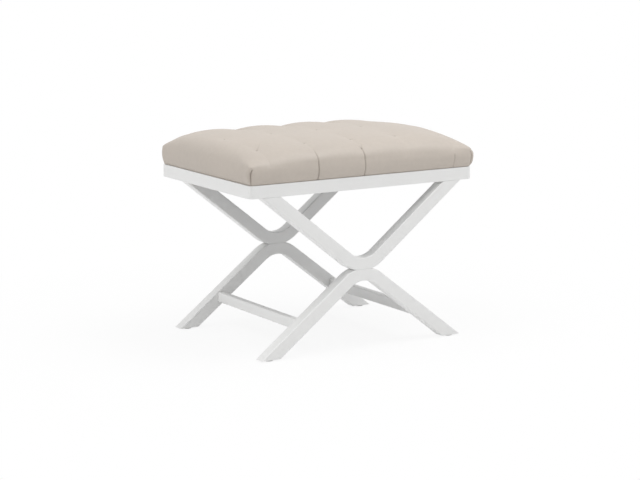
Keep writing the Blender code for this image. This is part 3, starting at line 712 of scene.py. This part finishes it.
class Nodes:
    """Adds shader nodes to one tree and joins them up."""

    def __init__(self, tree):
        self.tree = tree

    def add(self, kind, **settings):
        made = self.tree.nodes.new(kind)
        for key, value in settings.items():
            setattr(made, key, value)
        return made

    def feed(self, socket, value):
        if isinstance(value, bpy.types.NodeSocket):
            self.tree.links.new(value, socket)
        else:
            socket.default_value = value

    def fed(self, made, **inputs):
        """Feed inputs by name, with an underscore for each space."""
        for name, value in inputs.items():
            self.feed(made.inputs[name.replace("_", " ")], value)
        return made

    def noise(self, vector, scale, detail, roughness):
        made = self.add("ShaderNodeTexNoise")
        self.fed(made, Vector=vector, Scale=scale, Detail=detail, Roughness=roughness)
        return made.outputs["Fac"]

    def cells(self, vector, scale, feature="F1"):
        made = self.add("ShaderNodeTexVoronoi", feature=feature)
        self.fed(made, Vector=vector, Scale=scale)
        return made.outputs["Distance"]

    def bands(self, vector, scale, distortion, detail):
        made = self.add("ShaderNodeTexWave", wave_type="BANDS", bands_direction="Y")
        self.fed(made, Vector=vector, Scale=scale, Distortion=distortion, Detail=detail)
        return made.outputs["Fac"]

    def ranged(self, value, given, wanted):
        """Carry values over from a given span to the wanted one."""
        made = self.add("ShaderNodeMapRange")
        self.fed(made, Value=value, From_Min=given[0], From_Max=given[1])
        self.fed(made, To_Min=wanted[0], To_Max=wanted[1])
        return made.outputs["Result"]

    def maths(self, operation, first, second=0.0):
        made = self.add("ShaderNodeMath", operation=operation)
        self.feed(made.inputs[0], first)
        self.feed(made.inputs[1], second)
        return made.outputs[0]

    def scaled(self, value, share):
        return self.maths("MULTIPLY", value, share)

    def total(self, first, second):
        return self.maths("ADD", first, second)

    def blended(self, share, first, second, way="MIX"):
        made = self.add("ShaderNodeMix", data_type="RGBA", blend_type=way)
        self.feed(made.inputs[0], share)
        self.feed(made.inputs[6], first)
        self.feed(made.inputs[7], second)
        return made.outputs[2]

    def stretched(self, vector, scale):
        made = self.add("ShaderNodeMapping")
        self.fed(made, Vector=vector, Scale=scale)
        return made.outputs["Vector"]

    def parted(self, vector):
        made = self.add("ShaderNodeSeparateXYZ")
        self.fed(made, Vector=vector)
        return made.outputs

    def joined(self, x, y, z):
        made = self.add("ShaderNodeCombineXYZ")
        self.fed(made, X=x, Y=y, Z=z)
        return made.outputs["Vector"]

    def grouped(self, group, **inputs):
        made = self.add("ShaderNodeGroup", node_tree=group)
        return self.fed(made, **inputs).outputs

    def bumped(self, height, distance, strength):
        made = self.add("ShaderNodeBump")
        self.fed(made, Height=height, Distance=distance, Strength=strength)
        return made.outputs["Normal"]


def rgb(red, green, blue):
    return (red, green, blue, 1.0)


LEATHER_TONE = rgb(0.516, 0.461, 0.407)
# painted shade, laid into the leather's creases and corner seams
PAINTED_CREASE_SHADE = rgb(0.24, 0.2, 0.17)
PAINT_TONE = rgb(0.80, 0.80, 0.793)
PAINT_GRAIN_TONE = rgb(0.70, 0.69, 0.66)
BARE_WOOD_TONES = (rgb(0.66, 0.5, 0.32), rgb(0.5, 0.34, 0.19))  # early wood and late wood
PLYWOOD_TONES = (rgb(0.68, 0.53, 0.36), rgb(0.54, 0.39, 0.24))
STEEL_TONE = rgb(0.62, 0.62, 0.6)
NYLON_TONE = rgb(0.7, 0.7, 0.68)
NYLON_SCUFF_TONE = rgb(0.5, 0.49, 0.46)
CLOTH_TONE = rgb(0.028, 0.028, 0.03)
CLOTH_FIBRE_TONE = rgb(0.06, 0.06, 0.062)
TWINE_TONE = rgb(0.55, 0.48, 0.36)
# painted shade for the grooves between the twine's strands
TWINE_GROOVE_SHADE = rgb(0.3, 0.24, 0.16)
GRAIN_STRETCH = (0.12, 1.0, 1.0)  # the rings' pattern, drawn out along the grain
FIBRE_STRETCH = (0.03, 1.0, 1.0)
FLATTENED = (1.0, 1.0, 0.02)  # keeps the cloth's dots alike through its thickness
MIDDLING = (0.3, 0.7)  # span that holds most of a noise pattern


def new_group(name, inputs, outputs):
    """A node group with the named sockets, its nodes, and its inner input and output."""
    group = bpy.data.node_groups.new(name, "ShaderNodeTree")
    for direction, sockets in (("INPUT", inputs), ("OUTPUT", outputs)):
        for socket, kind in sockets.items():
            group.interface.new_socket(socket, in_out=direction, socket_type="NodeSocket" + kind)
    nodes = Nodes(group)
    entry = nodes.add("NodeGroupInput")
    way_out = nodes.add("NodeGroupOutput")
    return group, nodes, entry.outputs, way_out


def make_tone_drift():
    """Slow change of tone over a surface."""
    inputs = {"Vector": "Vector", "Colour": "Color", "Drift": "Float", "Scale": "Float"}
    outputs = {"Colour": "Color", "Mask": "Float"}
    group, nodes, entry, way_out = new_group("tone_drift", inputs, outputs)
    mask = nodes.noise(entry["Vector"], entry["Scale"], detail=4.0, roughness=0.55)
    swing = nodes.scaled(nodes.ranged(mask, MIDDLING, (-1.0, 1.0)), entry["Drift"])
    level = nodes.total(swing, 1.0)
    colour = nodes.blended(1.0, entry["Colour"], level, "MULTIPLY")
    nodes.fed(way_out, Colour=colour, Mask=mask)
    return group


def make_wood_grain():
    """Rings and fibres of wood whose grain runs along the vector's X."""
    inputs = {"Vector": "Vector", "Rings": "Float"}
    outputs = {"Rings": "Float", "Fibres": "Float"}
    group, nodes, entry, way_out = new_group("wood_grain", inputs, outputs)
    slow = nodes.stretched(entry["Vector"], GRAIN_STRETCH)
    rings = nodes.bands(slow, entry["Rings"], distortion=5.0, detail=3.0)
    drawn_out = nodes.stretched(entry["Vector"], FIBRE_STRETCH)
    fibres = nodes.noise(drawn_out, scale=900.0, detail=3.0, roughness=0.6)
    nodes.fed(way_out, Rings=rings, Fibres=fibres)
    return group


def make_scuffs():
    """Sparse rubbed patches."""
    inputs = {"Vector": "Vector", "Scale": "Float"}
    group, nodes, entry, way_out = new_group("scuffs", inputs, {"Mask": "Float"})
    patches = nodes.noise(entry["Vector"], entry["Scale"], detail=6.0, roughness=0.7)
    nodes.fed(way_out, Mask=nodes.ranged(patches, (0.56, 0.72), (0.0, 1.0)))
    return group


TONE_DRIFT = make_tone_drift()
WOOD_GRAIN = make_wood_grain()
SCUFFS = make_scuffs()


def drifting(nodes, place, colour, drift, scale):
    """A colour whose tone drifts over the surface, and the mask of its drift."""
    return nodes.grouped(TONE_DRIFT, Vector=place, Colour=colour, Drift=drift, Scale=scale)


def new_finish(name):
    made = bpy.data.materials.new(name)
    made.use_nodes = True
    nodes = Nodes(made.node_tree)
    shader = made.node_tree.nodes["Principled BSDF"]
    place = nodes.add("ShaderNodeTexCoord").outputs["Object"]
    return made, nodes, shader, place


def make_leather():
    """Soft, fine-grained greige leather, with painted shade darkening it down in its creases."""
    made, nodes, shader, place = new_finish("greige_leather_finish")
    tone = drifting(nodes, place, LEATHER_TONE, drift=0.025, scale=7.0)
    mottle = drifting(nodes, place, tone["Colour"], drift=0.02, scale=90.0)
    # the crease depth sets how much painted shade darkens the leather
    crease = nodes.add("ShaderNodeAttribute", attribute_name="crease").outputs["Fac"]
    shade = nodes.ranged(crease, (0.05, 0.9), (0.0, 0.7))
    pebbles = nodes.cells(place, scale=820.0, feature="SMOOTH_F1")
    folds = nodes.noise(place, scale=260.0, detail=5.0, roughness=0.6)
    skin = nodes.total(nodes.scaled(pebbles, 0.6), nodes.scaled(folds, 0.7))
    worn = nodes.ranged(tone["Mask"], MIDDLING, (0.46, 0.58))
    nodes.fed(
        shader,
        Base_Color=nodes.blended(shade, mottle["Colour"], PAINTED_CREASE_SHADE),
        Roughness=nodes.total(worn, nodes.scaled(pebbles, 0.05)),
        Specular_IOR_Level=0.55,
        Normal=nodes.bumped(skin, distance=0.00035, strength=0.35),
    )
    return made


BOW_SLOPE = math.radians(38)
WAIST_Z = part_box("front_upper_bow")[0].z


def along_bow(nodes, place):
    """Grain that follows a bow's arms away from the waist."""
    parts = nodes.parted(place)
    out = nodes.maths("ABSOLUTE", parts["X"])
    rise = nodes.maths("ABSOLUTE", nodes.maths("SUBTRACT", parts["Z"], WAIST_Z))
    cosine = math.cos(BOW_SLOPE)
    sine = math.sin(BOW_SLOPE)
    along = nodes.total(nodes.scaled(out, cosine), nodes.scaled(rise, sine))
    across = nodes.maths("SUBTRACT", nodes.scaled(out, sine), nodes.scaled(rise, cosine))
    return nodes.joined(along, across, parts["Y"])


def along_length(nodes, place):
    return place


def along_depth(nodes, place):
    parts = nodes.parted(place)
    return nodes.joined(parts["Y"], parts["X"], parts["Z"])


def make_paint(name, run):
    """White satin lacquer, through which the wood's grain shows as a faint relief."""
    made, nodes, shader, place = new_finish(name)
    grain = nodes.grouped(WOOD_GRAIN, Vector=run(nodes, place), Rings=60.0)
    tone = drifting(nodes, place, PAINT_TONE, drift=0.012, scale=9.0)
    shade = nodes.ranged(grain["Fibres"], (0.3, 0.75), (0.0, 0.05))
    spray = nodes.noise(place, scale=1400.0, detail=2.0, roughness=0.5)
    relief = nodes.total(nodes.scaled(grain["Fibres"], 0.7), nodes.scaled(spray, 0.5))
    rubbed = nodes.grouped(SCUFFS, Vector=place, Scale=35.0)
    dull = nodes.scaled(rubbed["Mask"], 0.08)
    satin = nodes.ranged(tone["Mask"], MIDDLING, (0.34, 0.42))
    nodes.fed(
        shader,
        Base_Color=nodes.blended(shade, tone["Colour"], PAINT_GRAIN_TONE),
        Roughness=nodes.total(dull, satin),
        Normal=nodes.bumped(relief, distance=0.00012, strength=0.05),
    )
    return made


def make_wood(name, tones, rings):
    """Bare wood, planed and unfinished."""
    early, late = tones
    made, nodes, shader, place = new_finish(name)
    grain = nodes.grouped(WOOD_GRAIN, Vector=place, Rings=rings)
    ring_shade = nodes.ranged(grain["Rings"], (0.2, 0.9), (0.0, 0.8))
    fibre_shade = nodes.ranged(grain["Fibres"], (0.35, 0.7), (0.0, 0.35))
    colour = nodes.blended(fibre_shade, nodes.blended(ring_shade, early, late), late)
    tone = drifting(nodes, place, colour, drift=0.06, scale=14.0)
    nodes.fed(
        shader,
        Base_Color=tone["Colour"],
        Roughness=nodes.ranged(grain["Fibres"], MIDDLING, (0.62, 0.78)),
        Normal=nodes.bumped(grain["Fibres"], distance=0.0004, strength=0.3),
    )
    return made


def make_steel():
    """Zinc plating, with its cloudy spangle and a few rubbed spots."""
    made, nodes, shader, place = new_finish("zinced_steel_finish")
    spangle = nodes.cells(place, scale=900.0)
    tone = drifting(nodes, place, STEEL_TONE, drift=0.08, scale=260.0)
    rubbed = nodes.grouped(SCUFFS, Vector=place, Scale=400.0)
    plating = nodes.ranged(spangle, (0.0, 1.0), (0.26, 0.4))
    rough = nodes.total(plating, nodes.scaled(rubbed["Mask"], 0.15))
    nodes.fed(shader, Base_Color=tone["Colour"], Roughness=rough, Metallic=1.0)
    return made


def make_nylon():
    """Moulded nylon, scuffed where it slides."""
    made, nodes, shader, place = new_finish("nylon_finish")
    rubbed = nodes.grouped(SCUFFS, Vector=place, Scale=220.0)
    tone = drifting(nodes, place, NYLON_TONE, drift=0.02, scale=60.0)
    shade = nodes.scaled(rubbed["Mask"], 0.35)
    speckle = nodes.noise(place, scale=2600.0, detail=2.0, roughness=0.5)
    nodes.fed(
        shader,
        Base_Color=nodes.blended(shade, tone["Colour"], NYLON_SCUFF_TONE),
        Roughness=nodes.ranged(rubbed["Mask"], (0.0, 1.0), (0.42, 0.7)),
        Normal=nodes.bumped(speckle, distance=0.0001, strength=0.2),
    )
    return made


def make_black_cloth():
    """Thin non-woven cloth: matted fibres, pressed together in a grid of dots."""
    made, nodes, shader, place = new_finish("black_cloth_finish")
    fibres = nodes.noise(place, scale=1500.0, detail=4.0, roughness=0.7)
    pressed = nodes.cells(nodes.stretched(place, FLATTENED), scale=480.0)
    dots = nodes.ranged(pressed, (0.12, 0.3), (0.0, 1.0))
    tone = drifting(nodes, place, CLOTH_TONE, drift=0.15, scale=30.0)
    shade = nodes.ranged(fibres, (0.4, 0.75), (0.0, 0.6))
    relief = nodes.total(nodes.scaled(fibres, 0.5), nodes.scaled(dots, 0.5))
    nodes.fed(
        shader,
        Base_Color=nodes.blended(shade, tone["Colour"], CLOTH_FIBRE_TONE),
        Roughness=nodes.ranged(dots, (0.0, 1.0), (0.75, 0.95)),
        Normal=nodes.bumped(relief, distance=0.0003, strength=0.6),
    )
    return made


def make_twine():
    """Twisted, waxed twine, with painted shade in the grooves between its strands."""
    made, nodes, shader, place = new_finish("twine_finish")
    strands = nodes.bands(place, scale=420.0, distortion=1.0, detail=1.0)
    tone = drifting(nodes, place, TWINE_TONE, drift=0.06, scale=120.0)
    # painted shade, deepest where the strands' grooves are low
    shade = nodes.ranged(strands, (0.0, 1.0), (0.5, 0.0))
    nodes.fed(
        shader,
        Base_Color=nodes.blended(shade, tone["Colour"], TWINE_GROOVE_SHADE),
        Roughness=nodes.ranged(strands, (0.0, 1.0), (0.8, 0.65)),
        Normal=nodes.bumped(strands, distance=0.0003, strength=0.5),
    )
    return made


def finish_solids():
    """Put a finish on every solid that stays in view."""
    finishes = {
        "bare_wood": make_wood("bare_wood_finish", BARE_WOOD_TONES, rings=40.0),
        "plywood": make_wood("plywood_finish", PLYWOOD_TONES, rings=26.0),
        "zinced_steel": make_steel(),
        "nylon": make_nylon(),
        "twine": make_twine(),
    }
    for part in frame["record"]["subparts"]:
        solid = frame["nodes"][part["node"]]
        if part["material_slot"] in finishes:
            solid.data.materials.clear()
            solid.data.materials.append(finishes[part["material_slot"]])


def paint_frame():
    """Dress the painted pieces, each with its grain along its length."""
    bow_paint = make_paint("white_lacquer_bows", along_bow)
    long_paint = make_paint("white_lacquer_long_rails", along_length)
    short_paint = make_paint("white_lacquer_short_rails", along_depth)
    for frame_name in ("front", "back"):
        for bow in ("upper_bow", "lower_bow"):
            paint_over(f"{frame_name}_{bow}", bow_paint)
        paint_over(f"{frame_name}_rail", long_paint)
    for side in ("left", "right"):
        paint_over(f"{side}_rail", short_paint)
        paint_over(f"{side}_stretcher", short_paint)


# Stage

FLOOR_SIZE = 16.0
FLOOR_TONE = rgb(0.92, 0.92, 0.92)
WHITE = rgb(1.0, 1.0, 1.0)
GLOW_NEAR = 0.88  # how much of the floor's white is its own, close to the bench
GLOW_START = 0.45  # distance from the middle at which the floor turns to plain white
GLOW_END = 1.1  # and at which it is wholly so
WORLD_LEVEL = 0.68
# Place, aim, size, power in watts and spread in degrees of each lamp
LAMPS = {
    "right_light": ((0.9, -0.8, 2.5), (0, 0, 0.4), (1.8, 1.8), 26, 180),
    "left_light": ((-1.4, 0.1, 2.4), (0, 0, 0.4), (1.8, 1.8), 13.5, 180),
    "low_light": ((-1.9, -0.1, 0.14), (0, 0, 0.16), (1.6, 0.2), 0.26, 26),  # reaches in under the seat
}


def make_camera():
    lens = bpy.data.cameras.new("camera")
    lens.sensor_width = SENSOR_WIDTH
    lens.lens = FOCAL_PIXELS / PHOTO_WIDTH * SENSOR_WIDTH
    camera = bpy.data.objects.new("camera", lens)
    bpy.context.scene.collection.objects.link(camera)
    camera.location = CAMERA_PLACE
    camera.rotation_euler = (math.radians(CAMERA_TILT), 0, math.radians(CAMERA_TURN))
    bpy.context.scene.camera = camera


def seen_directly(nodes):
    """One where the camera sees a surface directly, in a reflection or through glass."""
    path = nodes.add("ShaderNodeLightPath").outputs
    mirrored = nodes.maths("MAXIMUM", path["Is Glossy Ray"], path["Is Transmission Ray"])
    return nodes.maths("MAXIMUM", path["Is Camera Ray"], mirrored)


def make_floor():
    deselect_all()
    bpy.ops.mesh.primitive_plane_add(size=FLOOR_SIZE, location=(0, 0, 0))
    floor = name_piece("floor")
    made = bpy.data.materials.new("pale_floor")
    made.use_nodes = True
    nodes = Nodes(made.node_tree)
    made.node_tree.nodes.clear()
    matt = nodes.fed(nodes.add("ShaderNodeBsdfDiffuse"), Color=FLOOR_TONE)
    glow = nodes.fed(nodes.add("ShaderNodeEmission"), Color=WHITE, Strength=1.0)
    place = nodes.add("ShaderNodeTexCoord").outputs["Object"]
    reach = nodes.add("ShaderNodeVectorMath", operation="LENGTH")
    nodes.feed(reach.inputs[0], place)
    white = nodes.ranged(reach.outputs["Value"], (GLOW_START, GLOW_END), (GLOW_NEAR, 1.0))
    share = nodes.scaled(seen_directly(nodes), white)
    mix = nodes.fed(nodes.add("ShaderNodeMixShader"), Fac=share)
    nodes.feed(mix.inputs[1], matt.outputs["BSDF"])
    nodes.feed(mix.inputs[2], glow.outputs["Emission"])
    nodes.fed(nodes.add("ShaderNodeOutputMaterial"), Surface=mix.outputs["Shader"])
    floor.data.materials.append(made)


def make_world():
    world = bpy.data.worlds.new("studio")
    bpy.context.scene.world = world
    world.use_nodes = True
    nodes = Nodes(world.node_tree)
    world.node_tree.nodes.clear()
    lit = nodes.fed(nodes.add("ShaderNodeBackground"), Color=WHITE, Strength=WORLD_LEVEL)
    seen = nodes.fed(nodes.add("ShaderNodeBackground"), Color=WHITE, Strength=1.0)
    mix = nodes.fed(nodes.add("ShaderNodeMixShader"), Fac=seen_directly(nodes))
    nodes.feed(mix.inputs[1], lit.outputs["Background"])
    nodes.feed(mix.inputs[2], seen.outputs["Background"])
    nodes.fed(nodes.add("ShaderNodeOutputWorld"), Surface=mix.outputs["Shader"])


def make_lamp(name, place, aim, size, power, spread):
    lamp = bpy.data.lights.new(name, "AREA")
    lamp.shape = "RECTANGLE"
    lamp.size, lamp.size_y = size
    lamp.energy = power
    lamp.spread = math.radians(spread)
    holder = bpy.data.objects.new(name, lamp)
    bpy.context.scene.collection.objects.link(holder)
    holder.location = place
    direction = Vector(aim) - Vector(place)
    holder.rotation_euler = direction.to_track_quat("-Z", "Y").to_euler()


def make_stage():
    bpy.context.scene.view_settings.view_transform = "Standard"
    make_camera()
    make_floor()
    make_world()
    for name, values in LAMPS.items():
        make_lamp(name, *values)


make_cushion(make_leather())
make_dust_cloth(make_black_cloth())
paint_frame()
finish_solids()
make_stage()
